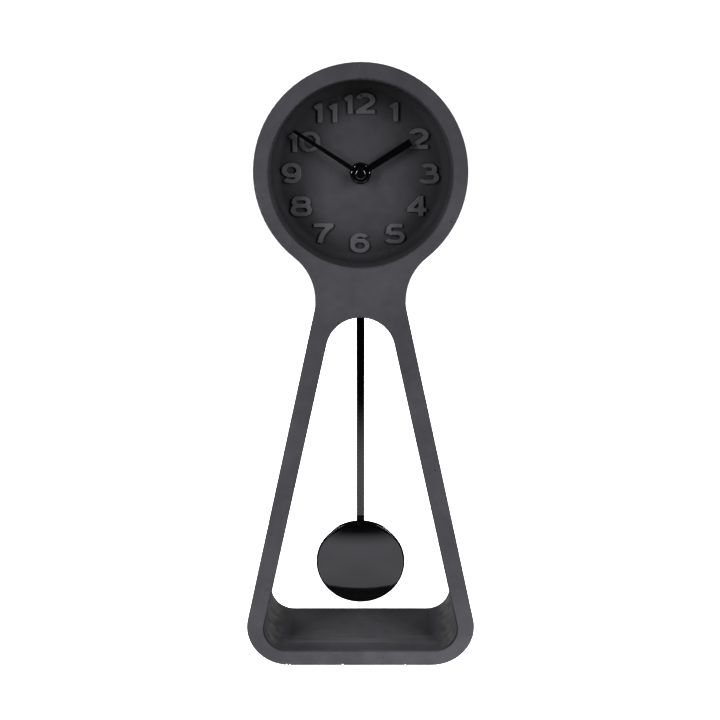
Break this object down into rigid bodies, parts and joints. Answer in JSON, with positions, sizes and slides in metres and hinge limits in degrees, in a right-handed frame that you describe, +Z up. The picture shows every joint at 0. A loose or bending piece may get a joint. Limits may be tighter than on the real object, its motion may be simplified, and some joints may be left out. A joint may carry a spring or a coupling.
{
  "type": "pendulum clock",
  "caption": "Free-standing pendulum clock cast in dark concrete: round dial recess on splayed legs, round bob swinging in the open window.",
  "frame": {"origin": "on the surface the clock stands on, at the middle of its base", "axes": "+Z up, +X to the right seen from the front, +Y from the dial to the back"},
  "size_m": [0.156, 0.06, 0.401],
  "materials": {
    "concrete": "matte",
    "felt": "matte",
    "black_steel": "satin",
    "gloss_black": "gloss",
    "hand_black": "satin",
    "rubber": "matte",
    "brass": "satin",
    "case_plastic": "satin",
    "gear_plastic": "satin",
    "magnet": "matte",
    "steel": "satin",
    "copper_wire": "gloss",
    "board": "satin",
    "cell_jacket": "gloss"
  },
  "bodies": {
    "root": {"cast_body": "concrete", "foot_pads": "felt", "dial_washer": "black_steel", "dial_nut": "gloss_black", "case_gasket": "rubber", "threaded_bushing": "brass", "movement_front_case": "case_plastic", "movement_rear_cover": "case_plastic", "middle_plate": "gear_plastic", "stator": "steel", "coil_core": "steel", "motor_coil": "copper_wire", "circuit_board": "board", "quartz_crystal": "steel", "battery_cell": "cell_jacket", "positive_contact": "steel", "negative_contact": "steel", "drive_coil": "copper_wire", "pivot_pin": "steel"},
    "minute": {"minute_arbor": "brass", "minute_hand": "hand_black", "hand_cap": "gloss_black"},
    "hour": {"hour_wheel": "gear_plastic", "hour_hand": "hand_black"},
    "motion": {"motion_wheel": "gear_plastic"},
    "knob": {"setting_knob": "case_plastic"},
    "seconds": {"seconds_wheel": "gear_plastic"},
    "third": {"third_wheel": "gear_plastic"},
    "centre": {"centre_wheel": "gear_plastic"},
    "intermediate": {"intermediate_wheel": "gear_plastic"},
    "rotor": {"rotor_pinion": "gear_plastic", "rotor_magnet": "magnet"},
    "pendulum": {"pendulum_lever": "gear_plastic", "drive_magnet": "magnet", "pendulum_rod": "black_steel", "bob_shell": "gloss_black", "bob_back_plate": "black_steel", "bob_clip": "black_steel"}
  },
  "joints": [
    {"name": "minute_turn", "type": "hinge", "parent": "root", "child": "minute", "pos_m": [0, 0.01, 0.3351], "axis": [0, 1, 0], "continuous": true},
    {"name": "hour_turn", "type": "hinge", "parent": "root", "child": "hour", "pos_m": [0, 0.01, 0.3351], "axis": [0, 1, 0], "continuous": true},
    {"name": "motion_turn", "type": "hinge", "parent": "root", "child": "motion", "pos_m": [0.0045, 0.01, 0.32731], "axis": [0, 1, 0], "continuous": true},
    {"name": "knob_turn", "type": "hinge", "parent": "root", "child": "knob", "pos_m": [0.009, 0.01, 0.31951], "axis": [0, 1, 0], "continuous": true},
    {"name": "seconds_turn", "type": "hinge", "parent": "root", "child": "seconds", "pos_m": [0, 0.01, 0.3351], "axis": [0, 1, 0], "continuous": true},
    {"name": "third_turn", "type": "hinge", "parent": "root", "child": "third", "pos_m": [-0.00935, 0.01, 0.3351], "axis": [0, 1, 0], "continuous": true},
    {"name": "centre_turn", "type": "hinge", "parent": "root", "child": "centre", "pos_m": [0, 0.01, 0.3351], "axis": [0, 1, 0], "continuous": true},
    {"name": "intermediate_turn", "type": "hinge", "parent": "root", "child": "intermediate", "pos_m": [0.0078, 0.01, 0.33648], "axis": [0, 1, 0], "continuous": true},
    {"name": "rotor_turn", "type": "hinge", "parent": "root", "child": "rotor", "pos_m": [0.01414, 0.01, 0.33352], "axis": [0, 1, 0], "continuous": true},
    {"name": "pendulum_swing", "type": "hinge", "parent": "root", "child": "pendulum", "pos_m": [0, 0.01, 0.3038], "axis": [0, 1, 0], "range_deg": [-6, 6]}
  ],
  "couplings": [
    {"joint": "motion_turn", "follows": "minute_turn", "ratio": -0.33333},
    {"joint": "hour_turn", "follows": "minute_turn", "ratio": 0.083333},
    {"joint": "knob_turn", "follows": "minute_turn", "ratio": 1},
    {"joint": "third_turn", "follows": "seconds_turn", "ratio": -0.13333},
    {"joint": "centre_turn", "follows": "seconds_turn", "ratio": 0.016667},
    {"joint": "intermediate_turn", "follows": "seconds_turn", "ratio": -5},
    {"joint": "rotor_turn", "follows": "seconds_turn", "ratio": 30}
  ]
}
